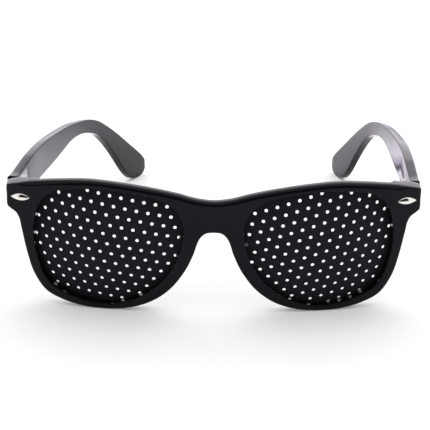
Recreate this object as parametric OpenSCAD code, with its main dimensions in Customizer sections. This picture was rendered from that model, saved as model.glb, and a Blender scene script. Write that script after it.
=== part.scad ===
// Pinhole glasses: a moulded front with two rims, two domed lens sheets full of small
// holes, and two folding arms. Millimetres, +Z up, the wearer's face is on the +Y side.
// The origin is on the table, straight below the middle of the bridge.

/* [Front] */
// Width of the front over the backs of its two corners
front_w = 145.8; // [140:0.2:152]
// Height of the front, lowest to highest point of its outline
front_h = 48.6; // [47:0.2:50.4]
// Thickness of the front
front_t = 4.6; // [4.2:0.1:5.2]
// Radius of the upright curve that the front's face follows
front_r = 277; // [250:1:310]
// How far each corner's side leans out between the face and the back
side_lean = 0.6; // [0:0.1:2]
// Lean of the standing front, the top away from the wearer
front_tilt = 2; // [0:0.5:4]

/* [Lenses] */
// Distance between the middles of the two lens openings, for a front of the drawn width
lens_apart = 73.6; // [72.8:0.2:74.4]
// Width of a lens opening, for a front of the drawn width
lens_w = 53.2; // [51:0.2:54]
// Height of a lens opening
lens_h = 43.8; // [42:0.2:44.4]
// Radius of the ball that a lens sheet is a piece of
lens_r = 98.8; // [92:0.2:115]
// Thickness of a lens sheet
lens_t = 0.9; // [0.7:0.05:1.1]
// Turn of each lens about the upright axis, toward the temples
lens_wrap = 7.2; // [6:0.1:8.4]
// Depth of the middle of a lens behind the front's face
lens_recess = 0.6; // [0.4:0.05:1]
// How far a lens sheet reaches into the groove of its rim
lens_grip = 0.7; // [0.5:0.05:0.9]
// Play of a lens sheet in its groove, on every side
lens_play = 0.06; // [0.03:0.01:0.12]
// Plastic left behind the lens groove
groove_wall = 0.8; // [0.6:0.05:1.2]

/* [Pinholes] */
// Diameter of a pinhole
hole_d = 1.35; // [1:0.05:1.6]
// Distance between neighbouring pinholes
hole_pitch = 4.05; // [3.8:0.05:6]
// Turn of the left lens's rows of pinholes
left_row_turn = 9.8; // [0:0.1:30]
// Turn of the right lens's rows of pinholes
right_row_turn = 17.1; // [0:0.1:30]
// Shift of the left lens's pinhole pattern, to the right and up
left_row_shift = [-0.33, 1.64];
// Shift of the right lens's pinhole pattern, to the right and up
right_row_shift = [2.9, -0.52];

/* [Arms] */
// Thickness of an arm
arm_t = 3.7; // [3.3:0.1:4.1]
// Distance from the corner's side in to the arm's outer face
arm_inset = 0.15; // [0.1:0.05:0.6]
// Length of an arm behind the hinge screw
arm_len = 136.2; // [128:0.2:142]
// Height of the table-standing arm's top edge, for a front of the drawn height
arm_top = 46.8; // [45.8:0.1:47.8]
// Length of the straight part of an arm, behind the hinge screw
arm_straight = 25.8; // [20:0.2:30]
// Radius of the inward bow behind the straight part
arm_bow_r = 299; // [285:2:340]
// How much thinner an arm is at its end
arm_thinning = 1.2; // [0.8:0.1:1.4]
// Angle of an arm at its open stop, from straight back, minus is outward
open_stop = -3.7; // [-5:0.1:-2]
// Angle of the right arm from straight back, inward is plus
right_rest = -3.7; // [-3.7:0.1:10]
// Angle of the left arm from straight back, inward is plus
left_rest = 7.3; // [-3.7:0.1:10]
// Gap between an arm's end and the corner at the open stop
butt_gap = 0.12; // [0.08:0.02:0.3]

/* [Hinges] */
// Diameter of a hinge screw's shank
screw_d = 1.4; // [1.2:0.1:1.6]
// Running clearance of the shank in a knuckle, all round
screw_play = 0.05; // [0.03:0.01:0.08]
// Diameter of a hinge knuckle
knuckle_d = 3.4; // [3:0.1:3.8]
// Height of each of the front leaf's two knuckles
outer_knuckle_h = 2.35; // [2:0.05:2.6]
// Height of the arm leaf's knuckle
middle_knuckle_h = 2.7; // [2.3:0.05:3]
// Gap between neighbouring knuckles
knuckle_gap = 0.1; // [0.06:0.02:0.2]
// Distance between a knuckle and the plastic beside it
knuckle_clear = 0.35; // [0.25:0.05:0.5]
// Thickness of a hinge leaf
leaf_t = 1.1; // [0.9:0.1:1.3]
// Width of the front leaf
front_leaf_w = 4.8; // [4.4:0.1:5]
// Length of the arm leaf
arm_leaf_l = 10; // [8:0.2:11]

/* [Trim plates] */
// Length of an almond-shaped trim plate
trim_l = 7; // [6.2:0.1:7.6]
// Height of a trim plate
trim_h = 2.6; // [2:0.1:3.2]
// Thickness of a trim plate
trim_t = 0.9; // [0.7:0.05:1.1]
// Depth of the plate's seat in the plastic
trim_sink = 0.35; // [0.25:0.05:0.5]
// Diameter of the pins on the back of a trim plate
trim_pin_d = 0.9; // [0.7:0.05:1.1]
// Clearance of the plates and their pins in the plastic, all round
trim_play = 0.03; // [0.02:0.01:0.06]

/* [Nose pads] */
// Reach of a nose pad behind the front
pad_reach = 6.5; // [5:0.1:8]
// Length of a nose pad along the rim
pad_l = 14; // [11:0.5:16]
// Lean of a nose pad, along the side of the nose arch
pad_turn = 19; // [15:1:23]

/* [Hidden] */
$fn = 96;

black = [0.05, 0.05, 0.06];
bare_metal = [0.75, 0.74, 0.72];
// overlap that lets a cut run clean through
over = 1;
// points from one anchor of an outline to the next
cuts = 3;
// length of anything that only has to reach past the part
past = 40;

// the outlines below are drawn at these widths and heights, then stretched to the sizes above
drawn_front = [145.8, 48.6];
drawn_lens = [53.3, 44.2];
drawn_low = 23.75;
drawn_trim_z = 16.95;

// right half of the front's outline seen from the front: top, corner, rim, nose arch
half_front = [
    [0, 18.7], [6, 19.4], [12.5, 21.1], [21, 22.75], [32, 24.2], [43, 24.85], [53, 24.1],
    [62, 22.95], [68, 21.95], [71.8, 21.15], [72.45, 20.85], [72.7, 20.2], [72.75, 17],
    [72.9, 14.2], [72.7, 13.05], [71.7, 12.3], [69.4, 10.95], [68.15, 8.6], [67.65, 5.4],
    [65.9, -4.75], [63.95, -11.8], [60, -18.2], [54.4, -21.35], [46.3, -23.4],
    [38, -23.75], [29.8, -22.8], [21.75, -19.8], [15.1, -14.65], [10.05, -7.7],
    [7.1, -1.4], [5.1, 4.5], [2.95, 7], [0, 7.5]
];

// opening of the right lens seen from the front, from its own middle
lens_anchors = [
    [26.8, 1], [26.2, 8.5], [23.8, 15.6], [18.5, 20.3], [11, 21.8], [0, 22.2], [-10, 21.2],
    [-18.5, 19.2], [-24.2, 15.2], [-26.5, 8.5], [-25.6, 0.8], [-22.6, -6.6], [-18, -12.9],
    [-12, -17.7], [-5, -20.9], [3, -22], [11.5, -20.5], [19, -16.8], [24, -10]
];

// side view of an arm, [distance behind the hinge screw, height], for an arm whose length
// and top height are drawn_arm; the first and last points are cut off by the arm's end
drawn_arm = [136.2, 46.8];
arm_anchors = [
    [-10, 44.5], [4, 45.55], [11, 46.15], [19.8, 46.8], [36.6, 46.6], [53.7, 45.4],
    [65.7, 44.4], [75.8, 43], [84.9, 41.2], [94, 38], [102.7, 33.1], [112.2, 26.7],
    [121.2, 19.8], [128.4, 14.1], [133.5, 9.6], [136.2, 5.1], [134, 0.9], [129, 0],
    [124.3, 1.2], [120.3, 4.2], [116.3, 8.6], [111.2, 14.9], [105.8, 21], [100.1, 26.5],
    [93, 31.8], [84.9, 35.1], [75.8, 37.2], [65.7, 37.5], [55.7, 36.2], [44.6, 35.2],
    [29.6, 34.9], [15.9, 35], [2, 35.4], [-10, 35.8]
];

// a wider front carries the temple side of each opening out with its corner, while the
// nose side stays, so that the rims keep their width
corner_shift = (front_w - drawn_front.x) / 2;
opening_w = lens_w + corner_shift;
lens_x = (lens_apart + corner_shift) / 2;
// the face's middle is this far in front of the lens middles, which are at y = 0
face_y = -(front_r - sqrt(front_r * front_r - lens_x * lens_x)) - lens_recess;
front_axis_y = face_y + front_r;
front_scale = [front_w / drawn_front.x, front_h / drawn_front.y];
lens_scale = [opening_w / drawn_lens.x, lens_h / drawn_lens.y];
front_lift = drawn_low * front_scale.y * cos(front_tilt) + lens_recess * sin(front_tilt);
corner_x = front_w / 2;

// middle of the corner plates, seen from the front
corner_trim_in = 5.8;
corner_trim_x = corner_x - corner_trim_in;
corner_trim_z = drawn_trim_z * front_scale.y;
corner_trim_y = front_axis_y - sqrt(front_r * front_r - corner_trim_x * corner_trim_x);
corner_turn = asin(corner_trim_x / front_r);

// flat back of the corners, upright in the standing part, and what it adds to the curved back
corner_pad = 0.4;
corner_back = front_axis_y
    - sqrt((front_r - front_t) * (front_r - front_t) - corner_x * corner_x)
    - corner_trim_z * sin(front_tilt) + corner_pad;
// the face at the corners, at the same height
corner_face = front_axis_y - sqrt(front_r * front_r - corner_x * corner_x)
    - corner_trim_z * sin(front_tilt);
corner_foot = 9.7;
corner_block_w = 9.6;
corner_ramp = 2.4;
corner_ramp_rise = 3.2;
corner_block_t = 5;
corner_block_side_t = 2.6;

arm_outer_x = corner_x - arm_inset;
arm_inner_x = arm_outer_x - arm_t;
// the inner face bows less than the outer one, which thins the arm toward its end
arm_bow_l = arm_len - arm_straight;
arm_inner_bow_r = 1 / (1 / (arm_bow_r - arm_t) - 2 * arm_thinning / (arm_bow_l * arm_bow_l));
knuckle_r = knuckle_d / 2;
hinge_x = arm_inner_x - knuckle_clear - knuckle_r;
hinge_y = corner_back + knuckle_clear + knuckle_r;
hinge_h = 2 * outer_knuckle_h + middle_knuckle_h + 2 * knuckle_gap;
hinge_mid_z = corner_trim_z * cos(front_tilt) + corner_trim_y * sin(front_tilt) + front_lift;
hinge_low_z = hinge_mid_z - hinge_h / 2;
screw_head_rim = 0.6;
screw_head_d = screw_d + 2 * screw_head_rim;
screw_head_h = 0.8;
screw_tail = 0.4;
slot_w = 0.4;
slot_depth = 0.35;
// how far the front leaf reaches past its knuckles, and how far behind the screw the arm's starts
front_leaf_past = 0.4;
front_leaf_x = hinge_x + knuckle_r - front_leaf_w + front_leaf_past;
arm_leaf_from = 0.5;
arm_leaf_y = hinge_y + arm_leaf_from;
web_t = 1.15;
arm_trim_y = arm_leaf_y + arm_leaf_l / 2;
// a higher front carries the arms' top edges up with its hinges
hinge_rise = (drawn_trim_z + drawn_low) * (front_scale.y - 1);
arm_scale = [arm_len / drawn_arm.x, (arm_top + hinge_rise) / drawn_arm.y];

// the pins of a trim plate are this far from its middle, the corner plate's lean in
corner_pin_at = 1.6;
corner_pin_l = corner_back - corner_trim_y * cos(front_tilt) + corner_trim_z * sin(front_tilt);
arm_pin_at = 2.1;
pin_short = 0.3;

// the nose pads: middle of the rim strip beside the nose arch
pad_x = 9.7;
pad_z = -1.5;
pad_base_y = front_axis_y - sqrt((front_r - front_t) * (front_r - front_t) - pad_x * pad_x);
pad_root = 0.5;
pad_round_over = 0.1;
pad_round_r = pad_l / 2 + pad_round_over;
// section of a pad: its foot and its tip across the rim, each from the nose side outward,
// the height of the step at the foot and the slope of the tip
pad_foot = [-1.5, 0.8];
pad_tip = [1.9, 3.2];
pad_step = 0.3;
pad_slope = 0.7;

// direction of a smooth curve at one anchor, from its two neighbours
function way(a, i) =
    let (n = len(a), p = a[(i + n - 1) % n], q = a[(i + 1) % n])
    (q - p) / (norm(a[i] - p) + norm(q - a[i]));

// point at the share s of the way from p to q, leaving along wp and arriving along wq
function along(p, q, wp, wq, s) =
    let (d = norm(q - p), s2 = s * s, s3 = s * s * s)
    (2 * s3 - 3 * s2 + 1) * p + (s3 - 2 * s2 + s) * d * wp
    + (3 * s2 - 2 * s3) * q + (s3 - s2) * d * wq;

// smooth closed outline through the anchors
function smooth(a) = [
    for (i = [0 : len(a) - 1], k = [0 : cuts - 1])
        let (j = (i + 1) % len(a))
        along(a[i], a[j], way(a, i), way(a, j), k / cuts)
];

// both halves of the front, the left one in the opposite order and without the middle points
function whole(half) = concat(
    half,
    [for (i = [len(half) - 2 : -1 : 1]) [-half[i].x, half[i].y]]
);

// points stretched by s and moved out from the middle by grow
function stretched(a, s, grow) = [
    for (p = a)
        let (q = [p.x * s.x, p.y * s.y])
        q * (1 + grow / norm(q))
];

// true when the point p lies inside the closed outline a
function inside(p, a) = len([
    for (i = [0 : len(a) - 1])
        let (u = a[i], v = a[(i + 1) % len(a)])
        if ((u.y > p.y) != (v.y > p.y)
            && p.x < u.x + (v.x - u.x) * (p.y - u.y) / (v.y - u.y))
        1
]) % 2 == 1;

lens_outline = smooth(stretched(lens_anchors, lens_scale, 0));

// the standing part from the front as it was drawn, flat in the X-Z plane
module stand() {
    translate([0, 0, front_lift])
    rotate([front_tilt, 0, 0])
    children();
}

// side is 1 for the right half, -1 for the left half
module on_side(side) {
    if (side > 0)
        children();
    else
        mirror([1, 0, 0])
        children();
}

// an outline in the X-Z plane, pushed along Y from y0 to y1
module plate_xz(y0, y1) {
    translate([0, y1, 0])
    rotate([90, 0, 0])
    linear_extrude(y1 - y0)
    children();
}

// the right lens's own frame: middle of the opening, turned with the wrap
module at_lens() {
    translate([lens_x, 0, 0])
    rotate([0, 0, lens_wrap])
    children();
}

// ball layer between two depths below the lens sheet's outer face
module lens_layer(d0, d1) {
    at_lens()
    translate([0, lens_r, 0])
    difference() {
        sphere(lens_r - d0);
        sphere(lens_r - d1);
    }
}

// the lens outline, grown by grow, as a bar along the lens's axis
module lens_bar(grow) {
    at_lens()
    plate_xz(-past / 2, past / 2)
    polygon(smooth(stretched(lens_anchors, lens_scale, grow)));
}

module front_outline() {
    plate_xz(-past / 2, past)
    polygon(smooth(whole(stretched_front())));
}

function stretched_front() = [
    for (p = half_front)
        [p.x * front_scale.x, p.y * front_scale.y]
];

module front_shell() {
    translate([0, front_axis_y, -past])
    difference() {
        cylinder(h = 2 * past, r = front_r, $fn = 360);
        translate([0, 0, -over])
        cylinder(h = 2 * past + 2 * over, r = front_r - front_t, $fn = 360);
    }
}

// the thicker corner with the flat back that the arm and the hinge stand against
module corner_block() {
    translate([0, 0, hinge_mid_z - corner_foot])
    linear_extrude(2 * corner_foot)
    polygon([
        [corner_x - corner_block_w - corner_ramp, corner_back - corner_block_t],
        [corner_x - corner_block_w - corner_ramp, corner_back - corner_ramp_rise],
        [corner_x - corner_block_w, corner_back],
        [corner_x + over, corner_back],
        [corner_x + over, corner_back - corner_block_side_t]
    ]);
}

// what lies beyond the leaning side of a corner
module beyond_corner() {
    depth = 2 * (corner_back - corner_face);
    linear_extrude(2 * past)
    polygon([
        [corner_x, corner_back],
        [corner_x - 2 * side_lean, corner_back - depth],
        [corner_x + past, corner_back - depth],
        [corner_x + past, corner_back]
    ]);
}

module nose_pad() {
    translate([pad_x, pad_base_y, pad_z])
    rotate([0, -pad_turn, 0])
    intersection() {
        translate([0, 0, -pad_l / 2])
        linear_extrude(pad_l)
        polygon([
            [pad_foot[0], -pad_root],
            [pad_foot[0], 0],
            [pad_tip[0], pad_reach],
            [pad_tip[1], pad_reach - pad_slope],
            [pad_foot[1], pad_step],
            [pad_foot[1], -pad_root]
        ]);
        translate([-past / 2, pad_reach - pad_round_r - pad_round_over, 0])
        rotate([0, 90, 0])
        cylinder(h = past, r = pad_round_r);
    }
}

// the trim plate's outline: what two equal round discs have in common
module almond(l, h) {
    disc_r = (l * l + h * h) / (4 * h);
    intersection() {
        translate([0, disc_r - h / 2, 0])
        circle(disc_r, $fn = 180);
        translate([0, h / 2 - disc_r, 0])
        circle(disc_r, $fn = 180);
    }
}

// plate in the X-Z plane with its seat at y = trim_sink and its pins toward +Y
module trim_plate(pin_at, pin_l, play) {
    plate_xz(trim_sink - trim_t, trim_sink)
    almond(trim_l + 2 * play, trim_h + 2 * play);
    for (s = [-1, 1])
        translate([s * pin_at, 0, 0])
        rotate([-90, 0, 0])
        cylinder(h = pin_l, d = trim_pin_d + 2 * play);
}

module corner_trim_shape(side, play) {
    on_side(side)
    stand()
    translate([corner_trim_x, corner_trim_y, corner_trim_z])
    rotate([0, 0, corner_turn])
    trim_plate(corner_pin_at, corner_pin_l, play);
}

// the arm's trim plate lies on its outer face, long way along the arm
module arm_trim_shape(side, play) {
    arm_at(side)
    translate([arm_outer_x, arm_trim_y, hinge_mid_z])
    rotate([0, 0, 90])
    trim_plate(arm_pin_at, arm_t - pin_short, play);
}

module front_leaf_plate(play) {
    translate([front_leaf_x - play, corner_back - leaf_t - play, hinge_low_z - play])
    cube([front_leaf_w + 2 * play, leaf_t + play + (play > 0 ? over : 0), hinge_h + 2 * play]);
}

module arm_leaf_plate(play) {
    translate([
        arm_inner_x - (play > 0 ? over : 0),
        arm_leaf_y - play,
        hinge_low_z - play
    ])
    cube([leaf_t + play + (play > 0 ? over : 0), arm_leaf_l + 2 * play, hinge_h + 2 * play]);
}

// turns the straight-back right arm to its resting angle, and mirrors it for the left
module arm_at(side) {
    on_side(side)
    translate([hinge_x, hinge_y, 0])
    rotate([0, 0, side > 0 ? right_rest : left_rest])
    translate([-hinge_x, -hinge_y, 0])
    children();
}

module front_frame() {
    color(black)
    difference() {
        union() {
            difference() {
                intersection() {
                    stand()
                    front_outline();
                    union() {
                        stand()
                        front_shell();
                        for (side = [-1, 1])
                            on_side(side) {
                                corner_block();
                                stand()
                                intersection() {
                                    lens_bar(lens_grip + groove_wall);
                                    lens_layer(0, lens_t + lens_play + groove_wall);
                                }
                            }
                    }
                }
                for (side = [-1, 1])
                    on_side(side)
                    stand() {
                        lens_bar(0);
                        intersection() {
                            lens_bar(lens_grip + lens_play);
                            lens_layer(-lens_play, lens_t + lens_play);
                        }
                    }
            }
            for (side = [-1, 1])
                on_side(side)
                stand()
                nose_pad();
        }
        for (side = [-1, 1]) {
            corner_trim_shape(side, trim_play);
            on_side(side) {
                front_leaf_plate(trim_play);
                beyond_corner();
            }
        }
    }
}

// triangular pattern of holes, each square to the sheet, where the opening shows them
module pinhole_lens(side, turn, shift) {
    row = hole_pitch * [cos(turn), side * sin(turn)];
    next = hole_pitch * [cos(turn + 60), side * sin(turn + 60)];
    edge = stretched(lens_outline, [1, 1], -hole_d / 4);
    color(black)
    stand()
    difference() {
        on_side(side)
        intersection() {
            lens_bar(lens_grip);
            lens_layer(0, lens_t);
        }
        translate([side * lens_x, 0, 0])
        rotate([0, 0, side * lens_wrap])
        translate([0, lens_r, 0])
        for (i = [-9 : 9], j = [-9 : 9]) {
            p = shift + i * row + j * next;
            if (inside([side * p.x, p.y], edge))
                rotate([0, -atan2(p.y, p.x), 0])
                rotate([0, 0, norm(p) / lens_r * 180 / PI])
                rotate([90, 0, 0])
                translate([0, 0, lens_r - lens_t - over])
                cylinder(h = lens_t + 2 * over, d = hole_d, $fn = 24);
        }
    }
}

module left_pinhole_lens() {
    pinhole_lens(-1, left_row_turn, left_row_shift);
}

module right_pinhole_lens() {
    pinhole_lens(1, right_row_turn, right_row_shift);
}

module corner_trim(side) {
    color(bare_metal)
    corner_trim_shape(side, 0);
}

module left_corner_trim() {
    corner_trim(-1);
}

module right_corner_trim() {
    corner_trim(1);
}

module arm_side_view() {
    translate([0, hinge_y, 0])
    rotate([90, 0, 90])
    linear_extrude(2 * past + corner_x)
    polygon(smooth([for (p = arm_anchors) [p.x * arm_scale.x, p.y * arm_scale.y]]));
}

// top view of an arm: a straight bar, then what lies between two large round discs
module arm_top_view() {
    bow_y = hinge_y + arm_straight;
    translate([arm_inner_x, -past, 0])
    cube([arm_t, bow_y + past, 2 * past]);
    intersection() {
        difference() {
            translate([arm_outer_x - arm_bow_r, bow_y, 0])
            cylinder(h = 2 * past, r = arm_bow_r, $fn = 360);
            translate([arm_inner_x - arm_inner_bow_r, bow_y, -over])
            cylinder(h = 2 * past + 2 * over, r = arm_inner_bow_r, $fn = 360);
        }
        translate([0, bow_y, 0])
        cube([corner_x + past, arm_len + past, 2 * past]);
    }
}

module temple_arm(side) {
    color(black)
    difference() {
        arm_at(side)
        difference() {
            intersection() {
                arm_side_view();
                arm_top_view();
            }
            translate([hinge_x, hinge_y, -over])
            rotate([0, 0, -open_stop])
            translate([-past, corner_back + butt_gap - hinge_y - past, 0])
            cube([2 * past, past, 2 * past + 2 * over]);
            arm_leaf_plate(trim_play);
        }
        arm_trim_shape(side, trim_play);
    }
}

module left_temple_arm() {
    temple_arm(-1);
}

module right_temple_arm() {
    temple_arm(1);
}

module screw_bore() {
    translate([hinge_x, hinge_y, hinge_low_z - over])
    cylinder(h = hinge_h + 2 * over, d = screw_d + 2 * screw_play);
}

module knuckle(z, h) {
    translate([hinge_x, hinge_y, z])
    cylinder(h = h, d = knuckle_d);
}

module front_hinge_leaf(side) {
    color(bare_metal)
    difference() {
        on_side(side)
        difference() {
            union() {
                front_leaf_plate(0);
                for (z = [hinge_low_z, hinge_low_z + hinge_h - outer_knuckle_h]) {
                    knuckle(z, outer_knuckle_h);
                    translate([hinge_x - knuckle_r, corner_back - leaf_t / 2, z])
                    cube([web_t, hinge_y - corner_back + leaf_t / 2, outer_knuckle_h]);
                }
            }
            screw_bore();
        }
        corner_trim_shape(side, trim_play);
    }
}

module left_front_hinge_leaf() {
    front_hinge_leaf(-1);
}

module right_front_hinge_leaf() {
    front_hinge_leaf(1);
}

module temple_hinge_leaf(side) {
    middle_z = hinge_low_z + outer_knuckle_h + knuckle_gap;
    color(bare_metal)
    difference() {
        arm_at(side)
        difference() {
            union() {
                arm_leaf_plate(0);
                knuckle(middle_z, middle_knuckle_h);
                translate([hinge_x, hinge_y + knuckle_r - web_t, middle_z])
                cube([arm_inner_x - hinge_x + leaf_t / 2, web_t, middle_knuckle_h]);
            }
            screw_bore();
        }
        arm_trim_shape(side, trim_play);
    }
}

module left_temple_hinge_leaf() {
    temple_hinge_leaf(-1);
}

module right_temple_hinge_leaf() {
    temple_hinge_leaf(1);
}

module hinge_screw(side) {
    head_z = hinge_low_z + hinge_h;
    color(bare_metal)
    on_side(side)
    translate([hinge_x, hinge_y, 0])
    difference() {
        union() {
            translate([0, 0, hinge_low_z - screw_tail])
            cylinder(h = hinge_h + screw_tail, d = screw_d);
            translate([0, 0, head_z])
            cylinder(h = screw_head_h, d = screw_head_d);
        }
        translate([-screw_head_d, -slot_w / 2, head_z + screw_head_h - slot_depth])
        cube([2 * screw_head_d, slot_w, slot_depth + over]);
    }
}

module left_hinge_screw() {
    hinge_screw(-1);
}

module right_hinge_screw() {
    hinge_screw(1);
}

module temple_trim(side) {
    color(bare_metal)
    arm_trim_shape(side, 0);
}

module left_temple_trim() {
    temple_trim(-1);
}

module right_temple_trim() {
    temple_trim(1);
}

front_frame();
left_pinhole_lens();
right_pinhole_lens();
left_corner_trim();
right_corner_trim();
left_temple_arm();
right_temple_arm();
left_front_hinge_leaf();
right_front_hinge_leaf();
left_temple_hinge_leaf();
right_temple_hinge_leaf();
left_hinge_screw();
right_hinge_screw();
left_temple_trim();
right_temple_trim();
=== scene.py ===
import bpy
import bmesh
import numpy as np
from mathutils import Matrix, Vector


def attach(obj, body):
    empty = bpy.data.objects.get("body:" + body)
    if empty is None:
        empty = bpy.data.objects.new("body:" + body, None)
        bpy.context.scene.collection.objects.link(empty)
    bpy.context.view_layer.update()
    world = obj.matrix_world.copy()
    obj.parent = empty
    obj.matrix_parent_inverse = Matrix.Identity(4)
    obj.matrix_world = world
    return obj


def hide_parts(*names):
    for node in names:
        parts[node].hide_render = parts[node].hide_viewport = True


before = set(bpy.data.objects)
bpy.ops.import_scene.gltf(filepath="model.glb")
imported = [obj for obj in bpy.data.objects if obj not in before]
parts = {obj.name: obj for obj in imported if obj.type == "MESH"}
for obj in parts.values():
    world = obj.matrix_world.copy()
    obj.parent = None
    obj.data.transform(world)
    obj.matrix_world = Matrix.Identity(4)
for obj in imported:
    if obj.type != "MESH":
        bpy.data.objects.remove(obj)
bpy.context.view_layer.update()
millimetre = 0.001
print("frame loaded:", len(parts), "solids")

# Sizes that several pieces share, in millimetres and degrees
front = {
    "lean": 2.0,            # the front's lean away from the wearer
    "lift": 23.756,         # height of the lens middles above the table
    "radius": 277.0,        # upright curve of the face
    "axisY": 273.945,       # where that curve's axis stands
    "thick": 4.6,
    "lensX": 36.8,          # middle of a lens opening
    "lensRadius": 98.8,     # of the domed sheets
    "wrap": 7.2,            # turn of a lens toward the temple
    "openScale": (53.2 / 53.3, 43.8 / 44.2),  # an opening's size over its drawn size
    "cornerBack": 11.289,   # flat back of the corners, standing
    "hingeX": 67.0,
    "hingeY": 13.339,
    "hingeZ": 40.877,
    "leafProud": 0.1,       # the hinge leaves stand this far out of the plastic
}


# Small helpers for points and meshes

# Curve through the anchors: each piece is the cubic that leaves and arrives along the
# line between an anchor's two neighbours, with the piece's length as its speed.
def smoothLoop(anchors, steps):
    here = np.array(anchors, float)
    there, before = np.roll(here, -1, 0), np.roll(here, 1, 0)
    back = np.linalg.norm(here - before, axis=1)[:, None]
    ahead = np.linalg.norm(there - here, axis=1)[:, None]
    way = (there - before) / (back + ahead)
    nextWay = np.roll(way, -1, 0)
    here, there, way, nextWay, ahead = (v[:, None] for v in (here, there, way, nextWay, ahead))
    t = (np.arange(steps) / steps)[None, :, None]
    loop = (2 * t**3 - 3 * t**2 + 1) * here + (t**3 - 2 * t**2 + t) * ahead * way \
        + (3 * t**2 - 2 * t**3) * there + (t**3 - t**2) * ahead * nextWay
    return loop.reshape(-1, 2)


# Length from the first point of a curve to each of its points: the sum of the steps.
def lengthsAlong(points):
    return np.r_[0, np.cumsum(np.linalg.norm(np.diff(points, axis=0), axis=1))]


# Points of a curve at the given shares of its length, on straight lines between its points.
def alongCurve(points, shares):
    lengths = lengthsAlong(points)
    at = shares * lengths[-1]
    return np.stack([np.interp(at, lengths, points[:, k]) for k in range(points.shape[1])], 1)


# Direction square to a flat curve: its tangent, from the two neighbours, turned by 90 degrees.
def squareTo(points, closed):
    if closed:
        along = np.roll(points, -1, 0) - np.roll(points, 1, 0)
    else:
        along = np.gradient(points, axis=0)
    along /= np.linalg.norm(along, axis=1)[:, None]
    return np.stack([-along[:, 1], along[:, 0]], 1)


def towards(angle):  # a flat direction: cosine and sine
    return np.stack([np.cos(angle), np.sin(angle)], -1)


# Soft step: 0 up to low, 1 from high on, and the cubic with level ends between.
def easeIn(x, low, high):
    t = np.clip((x - low) / (high - low), 0, 1)
    return t * t * (3 - 2 * t)


# Quads over a grid of points; where it is wrapped, its last row joins the first.
def gridQuads(rows, columns, wrapped, start=0):
    i, j = np.meshgrid(np.arange(rows if wrapped else rows - 1), np.arange(columns - 1), indexing="ij")
    here, there = i * columns + j, (i + 1) % rows * columns + j
    return start + np.stack([here, there, there + 1, here + 1], -1).reshape(-1, 4)


# Closes a tube of rings with one point in the middle of its first ring and of its last.
def withEnds(rings):
    base, tip = (np.repeat(rings[k].mean(0)[None, None], rings.shape[1], 1) for k in (0, -1))
    return np.concatenate([base, rings, tip])


# Object from points in millimetres: touching points are merged, faces of no area dissolved
# and, where asked, open edges bridged, and then all faces turned outwards.
def meshObject(name, points, quads, body, replaced, merge=0.004, bridged=False):
    mesh = bpy.data.meshes.new(name)
    mesh.from_pydata((points * millimetre).tolist(), [], quads.tolist())
    work = bmesh.new()
    work.from_mesh(mesh)
    bmesh.ops.remove_doubles(work, verts=work.verts, dist=merge * millimetre)
    bmesh.ops.dissolve_degenerate(work, edges=work.edges, dist=merge * millimetre * 0.5)
    loose = [v for v in work.verts if not v.link_faces]
    bmesh.ops.delete(work, geom=loose, context="VERTS")
    rim = [e for e in work.edges if e.is_boundary]
    if rim and bridged:
        bmesh.ops.bridge_loops(work, edges=rim)
    bmesh.ops.delete(work, geom=[e for e in work.edges if e.is_wire], context="EDGES")
    bmesh.ops.recalc_face_normals(work, faces=work.faces)
    openEdges = sum(1 for e in work.edges if not e.is_manifold)
    work.to_mesh(mesh)
    work.free()
    mesh.shade_smooth()
    obj = bpy.data.objects.new(name, mesh)
    bpy.context.scene.collection.objects.link(obj)
    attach(obj, body)
    for node in replaced:
        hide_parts(node)
    print("made", name, len(mesh.polygons), "faces, open edges", openEdges)
    return obj


# The same from several grids of points, which close into one skin where they touch.
def makeObject(name, grids, wraps, body, replaced, merge=0.004):
    points, quads, start = [], [], 0
    for grid, wrapped in zip(grids, wraps):
        rows, columns = grid.shape[:2]
        points.append(grid.reshape(-1, 3))
        quads.append(gridQuads(rows, columns, wrapped, start))
        start += rows * columns
    return meshObject(name, np.concatenate(points), np.concatenate(quads), body, replaced, merge)


# From the front's own frame to the standing part: turned by the lean about X, then lifted.
def standing(points):
    a = np.radians(front["lean"])
    x, y, z = points[..., 0], points[..., 1], points[..., 2]
    return np.stack([x, y * np.cos(a) - z * np.sin(a),
                     y * np.sin(a) + z * np.cos(a) + front["lift"]], -1)


def onSide(points, side):  # the left side (-1) is the right side's mirror image
    return points * np.array([side, 1.0, 1.0])


# Outlines, seen from the front

# half of the front's, from the top of the bridge round to its underside
halfFront = [
    (0, 18.7), (6, 19.4), (12.5, 21.1), (21, 22.75), (32, 24.2), (43, 24.85), (53, 24.1),
    (62, 22.95), (68, 21.95), (71.8, 21.15), (72.45, 20.85), (72.7, 20.2), (72.75, 17),
    (72.9, 14.2), (72.7, 13.05), (71.7, 12.3), (69.4, 10.95), (68.15, 8.6), (67.65, 5.4),
    (65.9, -4.75), (63.95, -11.8), (60, -18.2), (54.4, -21.35), (46.3, -23.4), (38, -23.75),
    (29.8, -22.8), (21.75, -19.8), (15.1, -14.65), (10.05, -7.7), (7.1, -1.4), (5.1, 4.5),
    (2.95, 7), (0, 7.5),
]
# the right opening's, from its own middle
openingAnchors = [
    (26.8, 1), (26.2, 8.5), (23.8, 15.6), (18.5, 20.3), (11, 21.8), (0, 22.2), (-10, 21.2),
    (-18.5, 19.2), (-24.2, 15.2), (-26.5, 8.5), (-25.6, 0.8), (-22.6, -6.6), (-18, -12.9),
    (-12, -17.7), (-5, -20.9), (3, -22), (11.5, -20.6), (19.4, -17.2), (22.6, -14.2),
    (24.6, -10.3),
]
openingLoop = smoothLoop(np.array(openingAnchors) * front["openScale"], steps=16)
openingTurn = np.unwrap(np.arctan2(openingLoop[:, 1], openingLoop[:, 0]))
openingReach = np.hypot(openingLoop[:, 0], openingLoop[:, 1])


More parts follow.
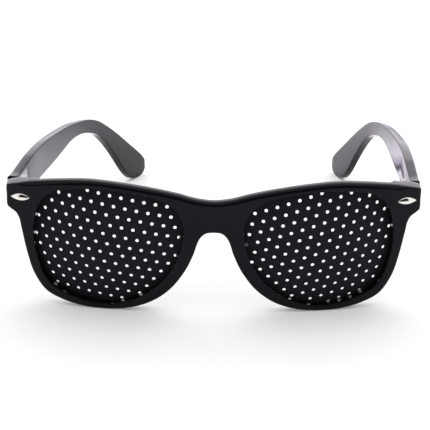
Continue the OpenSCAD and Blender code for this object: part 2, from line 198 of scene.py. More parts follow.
# Distance from the lens middle to the edge of its opening, in the direction of an angle.
def openingAt(angle):
    turn = np.mod(angle - openingTurn[0], 2 * np.pi) + openingTurn[0]
    return np.interp(turn, np.r_[openingTurn, openingTurn[0] + 2 * np.pi],
                     np.r_[openingReach, openingReach[0]])


# The moulded front

frontLook = {
    "steps": 24,            # points between two anchors of the outline
    "stations": 420,        # points round the outline of one half
    "seamStations": 26,     # points down the middle of the bridge
    "rows": 12,             # points from an opening to the outline
    "roundPoints": 6,       # points across a rounded edge
    "evenShare": 0.07,      # how far an opening's stations are drawn to equal turns
    "smoothing": 12,        # and over how many neighbours on each side they are averaged
    "topRound": 1.7,        # radius of the face's upper edge
    "edgeRound": 0.55,      # radius of its other outer edges
    "topEnd": (63.0, 69.5),  # where the upper edge's round gives way to that, in x
    "openRound": 0.42,      # radius of the edge of an opening
    "openBackRound": 0.85,  # radius of that edge at the back
    "backRound": 0.5,
    "backTopRound": 1.7,    # radius of the back's upper edge
    "blockFall": 1.8,       # how much deeper that round is on top of a corner's block
    "backTopEnd": (65.0, 70.0),
    "upward": (0.35, 0.9),  # an edge becomes an upper one as its outward direction rises by this
    "beadEnd": (1.0, 1.8),  # the bead behind the lens groove fades out this far from the opening
    "beadDepth": 1.76,      # its back, behind the lens sheet's outer face
    "blockX": (60.9, 63.3),  # where the corner's flat back begins, from the nose
    "blockZ": (7.0, 8.2),   # and from below
    "sideLean": 0.6,        # the corner's side leans out by this between face and back
    "sideDepth": 5.19,      # over this depth
    "sideBehind": 0.59,     # which ends this far behind cornerBack
    "sideX": 70.4,          # the lean starts here
    "sideBlend": 2.5,       # and is whole this much further out
}


def faceY(x):  # the upright cylinder that the face follows
    return front["axisY"] - np.sqrt(front["radius"]**2 - x * x)


def faceAt(x, z, fromOpening):  # the face, asked for as backAt is
    return faceY(x)


# Back of the moulding: an inner cylinder, raised to the flat back of the corner beyond
# blockX and above blockZ, and to a ball behind the lens near the opening, as a bead.
def backAt(x, z, fromOpening):
    look = frontLook
    shell = front["axisY"] - np.sqrt((front["radius"] - front["thick"])**2 - x * x)
    lean, wrap = np.radians(front["lean"]), np.radians(front["wrap"])
    flat = (front["cornerBack"] - front["leafProud"] + z * np.sin(lean)) / np.cos(lean)
    share = easeIn(x, *look["blockX"]) * easeIn(z, *look["blockZ"])
    y = shell + np.maximum(flat - shell, 0) * share
    reach = front["lensRadius"]
    middleX = front["lensX"] - reach * np.sin(wrap)
    ball = reach * np.cos(wrap) - np.sqrt((reach - look["beadDepth"])**2 - (x - middleX)**2 - z * z)
    bead = 1 - easeIn(fromOpening, *look["beadEnd"])
    return y + np.maximum(ball - y, 0) * bead


# A point of an opening's wall: the lens's own flat coordinates (u, z) carried along the
# lens axis until it meets the wanted depth, found in a few steps.
def alongLensAxis(u, z, depthAt):
    wrap = np.radians(front["wrap"])
    reach = np.zeros_like(u)
    for step in range(5):
        x = front["lensX"] + u * np.cos(wrap) - reach * np.sin(wrap)
        reach = (depthAt(x, z) - u * np.sin(wrap)) / np.cos(wrap)
    return np.stack([x, u * np.sin(wrap) + reach * np.cos(wrap), z], -1)


# Rings from face to back, with two more across the straight wall between the rounds.
def wallBand(faceRings, backRings):
    last, first = faceRings[-1], backRings[0]
    wall = [last + (first - last) * t for t in (0.33, 0.67)]
    return np.stack(faceRings + wall + backRings, 1)


# Angles of an opening's stations, seen from its middle: those of the stations that they
# face, drawn a little toward equal turns and averaged over their neighbours.
def openingTurns(facing):
    turn = np.unwrap(np.arctan2(facing[:, 1], facing[:, 0] - front["lensX"]))
    turn = np.minimum.accumulate(turn)
    even = turn[0] - 2 * np.pi * np.linspace(0, 1, len(turn), endpoint=False)
    turn = (1 - frontLook["evenShare"]) * turn + frontLook["evenShare"] * even
    wide = frontLook["smoothing"]
    around = np.r_[turn[-wide:] + 2 * np.pi, turn, turn[:wide] - 2 * np.pi]
    return np.convolve(around, np.ones(2 * wide + 1) / (2 * wide + 1), "valid")


# The front: four grids make its right half, and their mirror images the left one. They are
# the outer edge, the edge of the opening, and the face and the back between those two.
def makeFront():
    look = frontLook
    whole = halfFront + [(-x, z) for x, z in halfFront[-2:0:-1]]
    outer = smoothLoop(whole, look["steps"])[:(len(halfFront) - 1) * look["steps"] + 1]
    outer = alongCurve(outer, np.linspace(0, 1, look["stations"]))
    outer[0, 0] = outer[-1, 0] = 0
    outward = squareTo(outer, False)
    outward[0], outward[-1] = (0, 1), (0, -1)

    # outer edge: quarter rounds in front and behind, with a straight wall between
    arc = np.linspace(0, np.pi / 2, look["roundPoints"])
    rounds = list(zip(1 - np.sin(arc), 1 - np.cos(arc)))  # drawn in and behind, over the radius
    upper = easeIn(outward[:, 1], *look["upward"])
    onTop = upper * (1 - easeIn(outer[:, 0], *look["topEnd"]))
    onBackTop = upper * (1 - easeIn(outer[:, 0], *look["backTopEnd"]))
    radius = look["edgeRound"] + (look["topRound"] - look["edgeRound"]) * onTop
    back = look["backRound"] + (look["backTopRound"] - look["backRound"]) * onBackTop
    deep = back + look["blockFall"] * onBackTop * easeIn(outer[:, 0], *look["blockX"])
    leaning = np.clip((outer[:, 0] - look["sideX"]) / look["sideBlend"], 0, 1) * look["sideLean"]
    sideBack = front["cornerBack"] + look["sideBehind"]
    noBead = look["beadEnd"][1]

    def edgeRing(inset, surface, behind):
        xz = outer - outward * inset[:, None]
        y = surface(xz[:, 0], xz[:, 1], noBead) + behind
        xz[:, 0] -= leaning * np.clip((sideBack - y) / look["sideDepth"], 0, 1)
        xz[0, 0] = xz[-1, 0] = 0
        return np.stack([xz[:, 0], y, xz[:, 1]], -1)

    faceRings = [edgeRing(radius * inset, faceAt, radius * behind) for inset, behind in rounds]
    backRings = [edgeRing(back * inset, backAt, -deep * behind) for inset, behind in rounds[::-1]]
    outerBand = wallBand(faceRings, backRings)

    # what an opening's stations face: the outline, and then the middle of the bridge
    def facingLine(k):
        z = np.linspace(outerBand[-1, k, 2], outerBand[0, k, 2], look["seamStations"])[1:-1]
        return np.r_[outerBand[:, k, [0, 2]], np.stack([0 * z, z], 1)]

    turn = openingTurns(facingLine(0))
    opening = openingAt(turn)[:, None] * towards(turn)
    away = squareTo(opening, True)
    away *= np.sign((away * opening).sum(1))[:, None]

    # edge of the opening: its rounds lie outside the opening, the wall runs along the lens axis
    def openRing(outset, surface, behind):
        u, z = (opening + away * outset).T
        return alongLensAxis(u, z, lambda x, z: surface(x, z, outset) + behind)

    near, far = look["openRound"], look["openBackRound"]
    faceRings = [openRing(near * outset, faceAt, near * behind) for outset, behind in rounds]
    backRings = [openRing(far * outset, backAt, -far * behind) for outset, behind in rounds[::-1]]
    openingBand = wallBand(faceRings, backRings)

    # face and back: straight lines from opening to outline, laid on the two surfaces
    share = np.linspace(0, 1, look["rows"])[None, :, None]

    def laidOn(surface, k):
        inner = openingBand[:, k][:, None, [0, 2]]
        xz = inner * (1 - share) + facingLine(k)[:, None] * share
        fromOpening = np.linalg.norm(xz - inner, axis=2) + look["openBackRound"]
        grid = np.stack([xz[..., 0], surface(xz[..., 0], xz[..., 1], fromOpening), xz[..., 1]], -1)
        grid[:, 0] = openingBand[:, k]
        grid[:len(outerBand), -1] = outerBand[:, k]
        return grid

    grids = [standing(g) for g in (outerBand, openingBand, laidOn(faceAt, 0), laidOn(backAt, -1))]
    grids += [onSide(g, -1) for g in grids]
    return makeObject("mouldedFront", grids, [False, True, True, True] * 2,
                      "front", ["front_frame"])


# Nose pads, moulded on the back of the front

padLook = {
    "x": 9.7, "z": -1.5,    # middle of the rim strip that a pad stands on
    "turn": 19.0,           # lean along the nose arch, degrees
    "reach": 6.35,          # how far it stands out behind
    "root": 0.12,           # share of that by which its foot is sunk in the rim
    "flare": 3.3,           # how far it leans away from the nose
    "inward": 0.3,          # how much nearer to the nose its foot starts
    "halfLength": 6.7,
    "halfThick": 0.95,
    "thinning": 0.25,       # share of its thickness that is gone at the tip
    "square": 0.7,          # 1 makes its section an ellipse, less makes it squarer
    "blunt": 6,             # the higher, the nearer to the tip its thickness falls off
    "least": 0.02,          # half size that is left at the tip
    "rows": 22, "points": 48,
}


# A pad: a rounded fin. Along its height h the middle line leans away from the nose by
# flare * h, its length follows half an ellipse, and its section is a squared ellipse.
def makePad(side, name):
    look = padLook
    h = np.r_[-look["root"], np.sin(np.linspace(0, np.pi / 2, look["rows"]))][:, None]
    a = np.linspace(0, 2 * np.pi, look["points"], endpoint=False)[None, :]
    up = np.clip(h, 0, 1)
    length = look["halfLength"] * np.sqrt(1 - up**2) + look["least"]
    thick = look["halfThick"] * (1 - look["thinning"] * up) * np.sqrt(1 - up**look["blunt"]) + look["least"]
    across = thick * np.sign(np.cos(a)) * np.abs(np.cos(a))**look["square"]
    along = length * np.sign(np.sin(a)) * np.abs(np.sin(a))**look["square"]
    x = across + look["flare"] * h - look["inward"]
    y = faceY(look["x"]) + front["thick"] + look["reach"] * h + 0 * a
    turn = -np.radians(look["turn"])
    points = np.stack([look["x"] + x * np.cos(turn) + along * np.sin(turn), y,
                       look["z"] - x * np.sin(turn) + along * np.cos(turn)], -1)
    points = standing(withEnds(points).transpose(1, 0, 2))
    return makeObject(name, [onSide(points, side)], [True], "front", [], merge=0.02)


# Pinhole sheets

sheetLook = {
    "thick": 0.5,
    "grip": 1.3,            # reach into the rim's groove
    "pitch": 4.05,
    "eachWay": 10,          # rows of the pattern on each side of its middle
    "cellsBeyond": 3.9,     # cells are laid out up to this far outside the opening
    "holesBeyond": 0.2,     # and those up to this far have a hole
    "hole": 1.22,
    # the edge that the punch has rolled in: distance outside the hole, and depth
    "lip": [(0.3, 0.0), (0.08, 0.0), (0.02, 0.048), (0.0, 0.096)],
    "taper": 0.06,          # a hole's radius grows by this toward the back
    "points": 18,           # round a hole and its cell, a multiple of six
    "crease": 60.0,         # edges sharper than this aren't shaded round, degrees
    "left": {"turn": 9.8, "shift": (-0.33, 1.64)},
    "right": {"turn": 17.1, "shift": (2.9, -0.52)},
}


# One six-sided cell of a sheet round its hole: rings lead from the cell's edge to the
# hole's rolled lip, through the sheet and back out behind. A cell without a hole has the
# same rings, drawn together at its middle.
def sheetCells(turn):
    look = sheetLook
    k = np.arange(look["points"])
    perSide = look["points"] // 6
    cornerTurn = turn + np.pi / 6 + k // perSide * np.pi / 3
    corner = look["pitch"] / np.sqrt(3) * towards(cornerTurn)
    nextCorner = look["pitch"] / np.sqrt(3) * towards(cornerTurn + np.pi / 3)
    hexagon = corner + (nextCorner - corner) * (k % perSide / perSide)[:, None]
    around = towards(turn + np.pi / 6 + k * 2 * np.pi / look["points"])
    radius = look["hole"] / 2
    rings = [(hexagon, 0)] + [(around * (radius + out), depth) for out, depth in look["lip"]] \
        + [(around * (radius + look["taper"]), look["thick"]), (hexagon, look["thick"])]
    drilled = np.stack([ring for ring, depth in rings], 1)
    depth = np.array([depth for ring, depth in rings])
    plain = drilled.copy()
    plain[:, 1:-1] = 0
    plainDepth = np.where(np.arange(len(rings)) < len(look["lip"]), 0, look["thick"])
    return drilled, depth, plain, plainDepth


# The sheet: a cell round every crossing of the triangular pattern, cut off at the limit in
# the rim's groove. A flat point (u, v) goes to the ball at the same distance along its
# surface, the ball is turned with the wrap, and what stays open at the limit is bridged.
def makeSheet(side, name, node, row):
    look = sheetLook
    ball = front["lensRadius"]
    turn = side * np.radians(row["turn"])
    along, across = (look["pitch"] * towards(a) for a in (turn, turn + side * np.pi / 3))

    # crossings of the pattern that lie near the opening
    count = np.arange(-look["eachWay"], look["eachWay"] + 1)
    i, j = np.meshgrid(count, count, indexing="ij")
    middle = (np.array(row["shift"]) + i[..., None] * along + j[..., None] * across).reshape(-1, 2)
    beyond = np.linalg.norm(middle, axis=1) - openingAt(np.arctan2(middle[:, 1], side * middle[:, 0]))
    middle, beyond = (v[beyond < look["cellsBeyond"]] for v in (middle, beyond))
    holed = (beyond < look["holesBeyond"])[:, None, None]
    drilled, depth, plain, plainDepth = sheetCells(turn)
    uv = middle[:, None, None] + np.where(holed[..., None], drilled, plain)
    depth = np.where(holed, depth, plainDepth)

    # what is outside the limit is drawn in to it
    distance = np.linalg.norm(uv, axis=-1)
    limit = openingAt(np.arctan2(uv[..., 1], side * uv[..., 0])) + look["grip"]
    limit = ball * np.arcsin(limit / ball)
    outside = distance > limit
    uv *= np.where(outside, limit / np.maximum(distance, 1e-9), 1)[..., None]

    # onto the ball, then turned with the wrap
    distance = np.linalg.norm(uv, axis=-1)
    angle = distance / ball
    scale = (ball - depth) * np.sin(angle) / np.maximum(distance, 1e-9)
    u, v = (uv[..., k] * scale for k in (0, 1))
    behind = ball - (ball - depth) * np.cos(angle)
    wrap = side * np.radians(front["wrap"])
    points = standing(np.stack([side * front["lensX"] + u * np.cos(wrap) - behind * np.sin(wrap),
                                u * np.sin(wrap) + behind * np.cos(wrap), v], -1))

    # quads that lie wholly outside are left out
    cells, around, rings = points.shape[:3]
    start = np.arange(cells)[:, None, None] * around * rings
    quads = (gridQuads(around, rings, True) + start).reshape(-1, 4)
    dropped = outside.reshape(-1)[quads].all(1)
    sheet = meshObject(name, points.reshape(-1, 3), quads[~dropped], "front", [node],
                       bridged=True)
    sheet.data.set_sharp_from_angle(angle=np.radians(look["crease"]))
    return sheet


# Arms

armLook = {
    "side": [
        (-10, 44.5), (4, 45.55), (11, 46.15), (19.8, 46.8), (36.6, 46.6), (53.7, 45.4),
        (65.7, 44.4), (75.8, 43), (84.9, 41.2), (94, 38), (102.7, 33.1), (112.2, 26.7),
        (121.2, 19.8), (128.4, 14.1), (133.5, 9.6), (136.2, 5.1), (134, 0.9), (129, 0),
        (124.3, 1.2), (120.3, 4.2), (116.3, 8.6), (111.2, 14.9), (105.8, 21), (100.1, 26.5),
        (93, 31.8), (84.9, 35.1), (75.8, 37.2), (65.7, 37.5), (55.7, 36.2), (44.6, 35.2),
        (29.6, 34.9), (15.9, 35), (2, 35.4), (-10, 35.8),
    ],                      # distance behind the hinge screw, height
    "steps": 24,            # points between two anchors
    "tipIndex": 15,         # anchor at the tip
    "thick": 3.7,
    "outerX": 72.75,
    "straight": 25.8,       # length behind the hinge screw that isn't bowed
    "bowRadius": 299.0,
    "innerBow": 313.5,      # larger than the outer face's, so the arm thins toward its end
    "openStop": -3.7,       # degrees from straight back
    "rest": {1: -3.7, -1: 7.3},
    "buttGap": 0.12,        # between its front end and the corner's back
    "buttEdges": (45.06, 35.5),  # heights of its edges there
    "buttFade": 6.0,        # length over which that end's slant fades
    "bevel": 0.35,          # length of the bevel round the front end
    "bevelledShare": (0.8, 1.0, 0.93),  # of its thickness and height that the bevel leaves
    "outerRound": 0.75,
    "innerRound": 0.6,
    "roundPoints": 6,       # points across a rounded edge
    "roundShrink": 0.575,   # the rounds are scaled by this times the height, and never up
    "tipRound": 1.1,        # length over which the tip's thickness is rounded off
    "leafFade": (9.0, 14.0),  # here, behind the leaf, the inner face comes out by leafProud
    "stations": 260,
    "crowding": 1.25,       # above 1 the stations lie closer together toward the tip
}


# A point of the straight arm, given by x, the distance behind the hinge screw and the
# height, turned about the screw's axis to the arm's angle at rest.
def atRest(side, x, behind, z):
    a = np.radians(armLook["rest"][side])
    x = x - front["hingeX"]
    return np.stack([x * np.cos(a) - behind * np.sin(a) + front["hingeX"],
                     x * np.sin(a) + behind * np.cos(a) + front["hingeY"], z], -1)


# An arm: at each station a section stands between a point of the upper edge and one of the
# lower edge. The section is a rounded rectangle, the arm's thickness across. The plan view
# is a straight bar that runs on as an arc of large radius, whose radius grows from the
# outer face to the inner one.
def makeArm(side, name, node, body):
    look = armLook
    start = front["cornerBack"] + look["buttGap"] - front["hingeY"]
    loop = smoothLoop(look["side"], look["steps"])
    tip = look["tipIndex"] * look["steps"]
    at = 1 - (1 - np.linspace(0, 1, look["stations"]))**look["crowding"]

    def edgeStations(edge, height):
        return alongCurve(np.r_[[[start, height]], edge[edge[:, 0] > start]], at)

    top = edgeStations(loop[:tip + 1], look["buttEdges"][0])
    low = edgeStations(loop[tip:][::-1], look["buttEdges"][1])
    chord = np.linalg.norm(top - low, axis=1)[:, None]

    # section: a quarter round at each of its four corners, from the upper outer one inwards
    quarter = np.linspace(0, np.pi / 2, look["roundPoints"])
    sweep = np.r_[quarter, quarter[::-1], quarter, quarter[::-1]]
    outside = np.repeat([True, False, False, True], len(quarter))
    high = np.repeat([True, True, False, False], len(quarter))
    radius = np.where(outside, look["outerRound"], look["innerRound"])
    fromEdge = radius * (1 - np.sin(sweep)) * np.minimum(1, look["roundShrink"] * chord)
    fromFace = radius * (1 - np.cos(sweep))
    share = fromEdge / np.maximum(chord, 1e-6)
    share = np.clip(np.where(high, 1 - share, share), 0, 1)
    y, z = (low[:, [k]] + (top - low)[:, [k]] * share for k in (0, 1))

    # across the arm, from its outer face: the tip is rounded off as a quarter round
    half = look["thick"] / 2
    toTip = lengthsAlong((top + low)[::-1] / 2)[::-1, None]
    swell = np.sqrt(1 - (1 - np.clip(toTip / look["tipRound"], 0, 1))**2)
    across = half + (np.where(outside, fromFace, look["thick"] - fromFace) - half) * swell
    across -= front["leafProud"] * (1 - easeIn(y, *look["leafFade"])) * (across > half)

    bow = np.clip(y - look["straight"], 0, None)
    bowRadius = look["bowRadius"] + (look["innerBow"] - look["bowRadius"]) * across / look["thick"]
    x = look["outerX"] - across - bowRadius + np.sqrt(bowRadius**2 - bow**2)

    # the front end is cut so that it lies flat against the corner at the open stop
    stop = np.radians(look["openStop"])
    cut = (start - (x - front["hingeX"]) * np.sin(stop)) / np.cos(stop)
    y += (cut - start) * (1 - easeIn(y - start, 0, look["buttFade"]))
    points = atRest(side, x, y, z)

    # and its edge is bevelled
    first, middle = points[0], points[0].mean(0)
    drawnIn = middle + (first - middle) * look["bevelledShare"]
    points = np.concatenate([[drawnIn, first + (0, look["bevel"], 0)], points[1:]])
    points = withEnds(points).transpose(1, 0, 2)
    return makeObject(name, [onSide(points, side)], [True], body, [node], merge=0.01)


# Almond plates

plateLook = {
    "length": 7.0, "height": 2.6,
    "sink": 0.3,            # depth of the plate's base in its seat
    "edge": 0.2,            # height of the sloping faces' foot above the plastic
    "rim": 0.16,            # fall of the bevel round them
    "rimFrom": 0.84,        # where that bevel starts, over half the height
    "ridge": 0.62,          # height of the ridge along its middle
    "swell": 0.85,          # 1 makes the slopes flat, less makes them swell
    "stations": 65,
    "cornerX": 67.1, "cornerZ": 16.95,
    "armY": 5.5,            # middle of the arm's plate behind the hinge screw
}


# An almond plate in its own frame (length, height, out): its two edges are arcs of equal
# circles. Its top slopes from a ridge along the middle down to a bevelled rim, and the
# ridge's height falls as a parabola to the rim's at the two points.
def plateGrid():
    look = plateLook
    l, h = look["length"], look["height"]
    disc = (l * l + h * h) / (4 * h)
    u = np.sin(np.linspace(-np.pi / 2, np.pi / 2, look["stations"])) * l / 2
    halfHeight = (np.sqrt(disc**2 - u**2) - (disc - h / 2)).clip(0)[:, None]
    # rows from the ridge to the rim, then down the side, and last the middle of the base
    rows = np.array([0.06, 0.3, 0.6, look["rimFrom"], 0.93, 1, 1])
    v = np.r_[-rows[::-1], 0, rows, 0]
    crown = (look["ridge"] - look["edge"]) * (1 - (2 * u / l)**2)
    out = look["edge"] + crown[:, None] * (1 - np.abs(v))**look["swell"]
    out -= look["rim"] * np.clip((np.abs(v) - look["rimFrom"]) / (1 - look["rimFrom"]), 0, 1)
    out[:, [0, -2, -1]] = -look["sink"]
    return np.stack([u[:, None] + 0 * v, v * halfHeight, out], -1)


# A plate on the corner: turned to lie along the face there, then leaned with the front.
def makeCornerPlate(side, name, node):
    look = plateLook
    u, v, out = np.moveaxis(plateGrid(), -1, 0)
    turn = np.arcsin(look["cornerX"] / front["radius"])
    points = np.stack([look["cornerX"] + u * np.cos(turn) + out * np.sin(turn),
                       faceY(look["cornerX"]) + u * np.sin(turn) - out * np.cos(turn),
                       look["cornerZ"] + v], -1)
    points = onSide(standing(points), side).transpose(1, 0, 2)
    return makeObject(name, [points], [True], "front", [node], merge=0.006)


# A plate on the outer side of an arm, long way along it.
def makeArmPlate(side, name, node, body):
    u, v, out = np.moveaxis(plateGrid(), -1, 0)
    points = atRest(side, armLook["outerX"] + out, plateLook["armY"] + u, front["hingeZ"] + v)
    points = onSide(points, side).transpose(1, 0, 2)
    return makeObject(name, [points], [True], body, [node], merge=0.006)


# Materials

# One socket of a node tree: sums and products written in Python add Math nodes.
class Signal:
    def __init__(self, tree, socket):
        self.tree, self.socket = tree, socket

    def join(self, operation, first, second):
        return self.tree.node("ShaderNodeMath", {"operation": operation}, {0: first, 1: second})

    def __add__(self, other):
        return self.join("ADD", self, other)

    def __radd__(self, other):
        return self.join("ADD", other, self)

    def __sub__(self, other):
        return self.join("SUBTRACT", self, other)

    def __rsub__(self, other):
        return self.join("SUBTRACT", other, self)

    def __mul__(self, other):
        return self.join("MULTIPLY", self, other)

    def __rmul__(self, other):
        return self.join("MULTIPLY", other, self)

    def __gt__(self, other):
        return self.join("GREATER_THAN", self, other)


# The nodes of one material or of the world.
class NodeTree:
    def __init__(self, owner, kind):
        owner.use_nodes = True
        self.nodes, self.links = owner.node_tree.nodes, owner.node_tree.links
        self.nodes.clear()
        self.output = self.nodes.new(kind)

    # a node of a type, with its settings first, then the values or links of its sockets
    def node(self, kind, settings=None, inputs=None, out=0):
        made = self.nodes.new(kind)
        for key, value in (settings or {}).items():
            if key == "stops":
                ramp = made.color_ramp
                while len(ramp.elements) < len(value):
                    ramp.elements.new(0.5)
                for stop, (place, shade) in zip(ramp.elements, value):
                    stop.position = place
                    stop.color = (shade, shade, shade, 1)
            else:
                setattr(made, key, value)
        for key, value in (inputs or {}).items():
            if isinstance(value, Signal):
                self.links.new(value.socket, made.inputs[key])
            else:
                made.inputs[key].default_value = value
        return Signal(self, made.outputs[out])

    def mixShaders(self, factor, a, b):
        return self.node("ShaderNodeMixShader", None, {0: factor, 1: a, 2: b})

    def surface(self, shader):
        self.links.new(shader.socket, self.output.inputs["Surface"])

    # 1 for what the camera sees, straight or in a mirror or through glass
    def seenRays(self):
        return self.node("ShaderNodeLightPath", out="Is Camera Ray") \
            + self.node("ShaderNodeLightPath", out="Is Glossy Ray") \
            + self.node("ShaderNodeLightPath", out="Is Transmission Ray")


class Finish(NodeTree):
    def __init__(self, name):
        self.material = bpy.data.materials.new(name)
        super().__init__(self.material, "ShaderNodeOutputMaterial")

    def place(self, scale=(1, 1, 1), turn=(0, 0, 0)):
        at = self.node("ShaderNodeTexCoord", out="Object")
        return self.node("ShaderNodeMapping", None, {"Vector": at, "Scale": scale, "Rotation": turn})

    def noise(self, scale, detail=2.0, rough=0.5, at=None):
        return self.node("ShaderNodeTexNoise", None, {"Vector": at or self.place(), "Scale": scale,
                                                      "Detail": detail, "Roughness": rough})

    def ramp(self, factor, stops):
        return self.node("ShaderNodeValToRGB", {"stops": stops}, {"Fac": factor})

    def blend(self, factor, a, b):
        return self.node("ShaderNodeMix", {"data_type": "RGBA"}, {0: factor, 6: a, 7: b}, out=2)

    def bump(self, height, strength, distance):
        return self.node("ShaderNodeBump", None, {"Height": height, "Strength": strength,
                                                  "Distance": distance})

    def principled(self, inputs):
        return self.node("ShaderNodeBsdfPrincipled", None, inputs)


plasticLook = {
    "black": (0.0022, 0.002, 0.0025, 1),
    "worn": (0.0052, 0.0048, 0.006, 1),
    "dust": (0.09, 0.09, 0.095, 1),
    "ior": 1.24,
    "roughness": 0.07,
    # share of the skin's own gloss, from a view square to the surface to one along it
    "grazing": [(0.4, 0.0), (0.5, 0.01), (0.6, 0.03), (0.7, 0.08), (0.8, 0.22), (0.9, 0.54), (1.0, 1.0)],
    "tint": (0.92, 0.84, 1.0, 1),  # of what it mirrors
}


# Polished black moulding: faint flow marks in the colour, fine hairlines and a few specks
# of dust in the gloss, and a slow waviness of the surface.
def makePlastic():
    look, f = plasticLook, Finish("polishedBlackPlastic")
    flow = f.noise(38, 4, 0.55, f.place((1, 1, 2.2)))
    speck = f.node("ShaderNodeTexVoronoi", None, {"Vector": f.place(), "Scale": 260.0}, out="Distance")
    dust = f.ramp(speck, [(0.0, 1.0), (0.055, 0.0)]) * (f.noise(90, 2) > 0.56)
    hair = f.noise(950, 1, 0.5, f.place((1.0, 0.12, 0.05), (0.3, 0.5, 0.2)))
    crossHair = f.noise(1100, 1, 0.5, f.place((0.06, 0.4, 1.0), (0.1, -0.4, 0.6)))
    lines = f.ramp(hair, [(0.64, 0.0), (0.7, 1.0)]) * 0.6 \
        + f.ramp(crossHair, [(0.65, 0.0), (0.71, 1.0)]) * 0.5
    colour = f.blend(flow * 0.9, look["black"], look["worn"])
    colour = f.blend(dust * 0.3, colour, look["dust"])
    gloss = look["roughness"] + flow * 0.035 + lines * 0.09 + dust * 0.25
    wave = f.noise(120, 2, 0.4)
    bump = f.bump(wave * 0.6 - lines * 0.02 + dust * 0.05, 0.05, 0.0004)
    body = f.principled({"Base Color": colour, "Roughness": gloss, "IOR": look["ior"],
                         "Specular Tint": look["tint"], "Normal": bump})
    skin = f.node("ShaderNodeBsdfAnisotropic", None,
                  {"Color": look["tint"], "Roughness": look["roughness"], "Normal": bump})
    facing = f.node("ShaderNodeLayerWeight", None, {"Blend": 0.5}, out="Facing")
    f.surface(f.mixShaders(f.ramp(facing, look["grazing"]), body, skin))
    return f.material


sheetFinish = {
    "black": (0.0125, 0.0118, 0.015, 1),
    "pale": (0.019, 0.018, 0.0225, 1),
    "ior": 1.12,
    "tint": (0.92, 0.84, 1.0, 1),
    "roughness": 0.4,
}


# Punched black sheet: matte, with a fine grain from rolling, and paler where it is scuffed.
def makeSheetFinish():
    look, f = sheetFinish, Finish("punchedBlackSheet")
    cloud = f.noise(60, 3, 0.5)
    grain = f.noise(2600, 2, 0.6, f.place((1.0, 1.0, 0.3)))
    rub = f.noise(420, 2, 0.5, f.place((0.2, 1.0, 1.0), (0.0, 0.4, 0.0)))
    scuff = f.ramp(rub, [(0.6, 0.0), (0.72, 1.0)])
    f.surface(f.principled({
        "Base Color": f.blend(cloud * 0.7 + scuff * 0.25, look["black"], look["pale"]),
        "Roughness": look["roughness"] + cloud * 0.06 + scuff * 0.08,
        "IOR": look["ior"], "Specular Tint": look["tint"],
        "Normal": f.bump(grain * 0.5 + scuff * 0.2, 0.08, 0.0002)}))
    return f.material


platingLook = {
    "bright": (0.88, 0.86, 0.83, 1),
    "tarnished": (0.78, 0.75, 0.71, 1),
    "roughness": 0.05,
}


# Polished plating with a trace of buffing lines and slight tarnish in patches.
def makePlating():
    look, f = platingLook, Finish("polishedPlating")
    buff = f.noise(900, 2, 0.6, f.place((0.08, 0.08, 1.0)))
    cloud = f.noise(300, 3, 0.5)
    f.surface(f.principled({
        "Base Color": f.blend(cloud, look["bright"], look["tarnished"]),
        "Roughness": look["roughness"] + buff * 0.06 + cloud * 0.04,
        "Metallic": 1.0, "Normal": f.bump(buff, 0.05, 0.0001)}))
    return f.material


metalLook = {
    "stampedNickel": {"tint": (0.44, 0.43, 0.43), "roughness": 0.26, "grain": (1.0, 1.0, 0.06)},
    "turnedSteel": {"tint": (0.52, 0.51, 0.5), "roughness": 0.22, "grain": (0.06, 0.06, 1.0)},
    "dull": 0.62,           # the cloudy places' share of the tint
}


# Bare metal of the leaves and screws: cloudy grey, with small pits and the grain of the
# strip or the lathe, drawn out along one direction.
def makeMetal(name):
    look, f = metalLook[name], Finish(name)
    grain = f.noise(1500, 3, 0.6, f.place(look["grain"]))
    cloud = f.noise(240, 3, 0.5)
    pit = f.ramp(f.noise(1900, 1, 0.5), [(0.68, 0.0), (0.76, 1.0)])
    dull = tuple(c * metalLook["dull"] for c in look["tint"])
    f.surface(f.principled({
        "Base Color": f.blend(cloud * 0.8 + pit * 0.2, look["tint"] + (1,), dull + (1,)),
        "Roughness": look["roughness"] + grain * 0.16 + pit * 0.1,
        "Metallic": 1.0, "Normal": f.bump(grain * 0.6 - pit * 0.4, 0.15, 0.0001)}))
    return f.material


# Build

plastic = makePlastic()
sheetBlack = makeSheetFinish()
plating = makePlating()
leafNickel = makeMetal("stampedNickel")
screwSteel = makeMetal("turnedSteel")
print("finishes made")


def wear(obj, material):  # a piece has one material
    obj.data.materials.clear()
    obj.data.materials.append(material)


wear(makeFront(), plastic)
for side, word in ((-1, "left"), (1, "right")):
    wear(makePad(side, word + "NosePad"), plastic)
    wear(makeSheet(side, word + "PinholeSheet", word + "_pinhole_lens", sheetLook[word]), sheetBlack)
    wear(makeArm(side, word + "Arm", word + "_temple_arm", word + "_arm"), plastic)
    wear(makeCornerPlate(side, word + "CornerPlate", word + "_corner_trim"), plating)
    wear(makeArmPlate(side, word + "ArmPlate", word + "_temple_trim", word + "_arm"), plating)
    for kind, material in (("front_hinge_leaf", leafNickel), ("temple_hinge_leaf", leafNickel),
                           ("hinge_screw", screwSteel)):
        for slot in parts[word + "_" + kind].material_slots:
            slot.material = material
print("pieces made")


# Floor, light and camera, in metres

stageLook = {
    "floor": (0.95, 0.95, 0.95, 1),
    "floorHalf": 4.0,
    "floorDrop": 0.00005,   # of the floor below the feet of the part
    "floorGlow": 0.16,      # share of plain white in the floor that the camera sees
    "worldSky": (1.0, 1.0, 1.0, 1),
    "world": 1.12,
    "aim": (0.0, 0.04, 0.02),  # of the lamps
    "lamps": {
        "overheadSoftbox": {"place": (0.1, 0.35, 0.9), "size": (1.0, 0.8), "power": 2.6},
        "backSoftbox": {"place": (0.0, 1.7, 0.95), "size": (2.6, 1.4), "power": 8.6},
    },
}


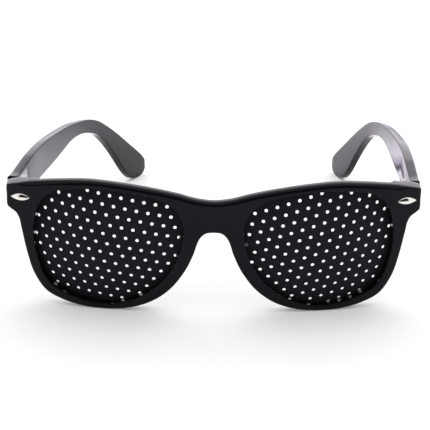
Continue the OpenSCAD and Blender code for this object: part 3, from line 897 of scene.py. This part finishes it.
# Object of the stage from one grid of points in metres.
def stageSheet(name, grid):
    mesh = bpy.data.meshes.new(name)
    mesh.from_pydata(grid.reshape(-1, 3).tolist(), [], gridQuads(*grid.shape[:2], False).tolist())
    mesh.shade_smooth()
    sheet = bpy.data.objects.new(name, mesh)
    bpy.context.scene.collection.objects.link(sheet)
    return sheet


# Floor: one flat sheet, lit and shaded as paper is. The camera sees it with a small share
# of plain white, which keeps it pale.
def makeFloor():
    look = stageLook
    line = np.linspace(-look["floorHalf"], look["floorHalf"], 9)
    x, y = np.meshgrid(line, line, indexing="ij")
    floor = stageSheet("paleFloor", np.stack([x, y, 0 * x - look["floorDrop"]], -1))
    f = Finish("palePaper")
    lit = f.principled({"Base Color": look["floor"], "Roughness": 0.9, "Specular IOR Level": 0.1,
                        "Normal": f.bump(f.noise(700, 3, 0.6), 0.05, 0.0003)})
    glow = f.node("ShaderNodeEmission", None, {"Color": (1, 1, 1, 1), "Strength": 1.0})
    f.surface(f.mixShaders(f.seenRays() * look["floorGlow"], lit, glow))
    wear(floor, f.material)


curtainLook = {
    "y": -2.2, "halfWidth": 1.9,
    "low": 0.01, "high": 2.4,
    "fold": 0.05,           # depth of its folds, at most
    "foldTurn": 46.0,       # radians of their wave over half the width
    "swayTurn": 7.0,        # and of the slow wave that makes them deeper and shallower
    "dark": (0.004, 0.004, 0.005, 1),
    "lighter": (0.012, 0.012, 0.014, 1),
}


# Curtain behind the camera: a cloth wall in soft upright folds, a wave whose depth itself
# rises and falls. Polished edges and plates mirror it, which draws their dark lines. The
# camera itself doesn't see it.
def makeCurtain():
    look = curtainLook
    u, v = np.meshgrid(np.linspace(-1, 1, 161), np.linspace(0, 1, 9), indexing="ij")
    sway = 0.6 + 0.4 * np.sin(u * look["swayTurn"])
    y = look["y"] + look["fold"] * np.sin(u * look["foldTurn"]) * sway
    z = look["low"] + (look["high"] - look["low"]) * v
    curtain = stageSheet("studioCurtain", np.stack([u * look["halfWidth"], y, z], -1))
    f = Finish("darkCloth")
    weave = f.noise(30, 4, 0.6)
    f.surface(f.principled({"Base Color": f.blend(weave, look["dark"], look["lighter"]),
                            "Roughness": 0.95, "Normal": f.bump(weave, 0.2, 0.01)}))
    wear(curtain, f.material)
    curtain.visible_camera = False


# World: an even sky lights the part, and what the camera or a mirror sees of it is white.
def makeWorld():
    world = bpy.data.worlds.new("paleStudio")
    bpy.context.scene.world = world
    f = NodeTree(world, "ShaderNodeOutputWorld")
    light = f.node("ShaderNodeBackground", None,
                   {"Color": stageLook["worldSky"], "Strength": stageLook["world"]})
    seen = f.node("ShaderNodeBackground", None, {"Color": (1, 1, 1, 1), "Strength": 1.0})
    f.surface(f.mixShaders(f.seenRays(), light, seen))


# Lamp: a lit rectangle, turned to face the point that all lamps aim at.
def makeLamp(name, place, size, power):
    lamp = bpy.data.lights.new(name, "AREA")
    lamp.shape = "RECTANGLE"
    lamp.size, lamp.size_y = size
    lamp.energy = power
    obj = bpy.data.objects.new(name, lamp)
    obj.location = place
    away = Vector(stageLook["aim"]) - Vector(place)
    obj.rotation_euler = away.to_track_quat("-Z", "Y").to_euler()
    bpy.context.scene.collection.objects.link(obj)


cameraLook = {
    "place": (-0.00289, -0.34692, 0.17505),
    "elevation": 21.743,    # degrees that it looks down
    "turn": -0.540,         # degrees about the upright axis
    "roll": 0.768,
    "lens": 90.716,
    "sensor": 36.0,
    "clip": (0.01, 50.0),
}


# Camera: rolled, tipped down from the level, then turned about the upright axis.
def makeCamera():
    look = cameraLook
    camera = bpy.data.cameras.new("viewCamera")
    camera.sensor_width = look["sensor"]
    camera.lens = look["lens"]
    camera.clip_start, camera.clip_end = look["clip"]
    obj = bpy.data.objects.new("viewCamera", camera)
    obj.matrix_world = Matrix.Translation(look["place"]) \
        @ Matrix.Rotation(np.radians(look["turn"]), 4, "Z") \
        @ Matrix.Rotation(np.radians(90 - look["elevation"]), 4, "X") \
        @ Matrix.Rotation(np.radians(look["roll"]), 4, "Z")
    bpy.context.scene.collection.objects.link(obj)
    bpy.context.scene.camera = obj


makeFloor()
makeCurtain()
makeWorld()
for name, lamp in stageLook["lamps"].items():
    makeLamp(name, **lamp)
makeCamera()
bpy.context.scene.view_settings.view_transform = "Standard"
print("stage made")
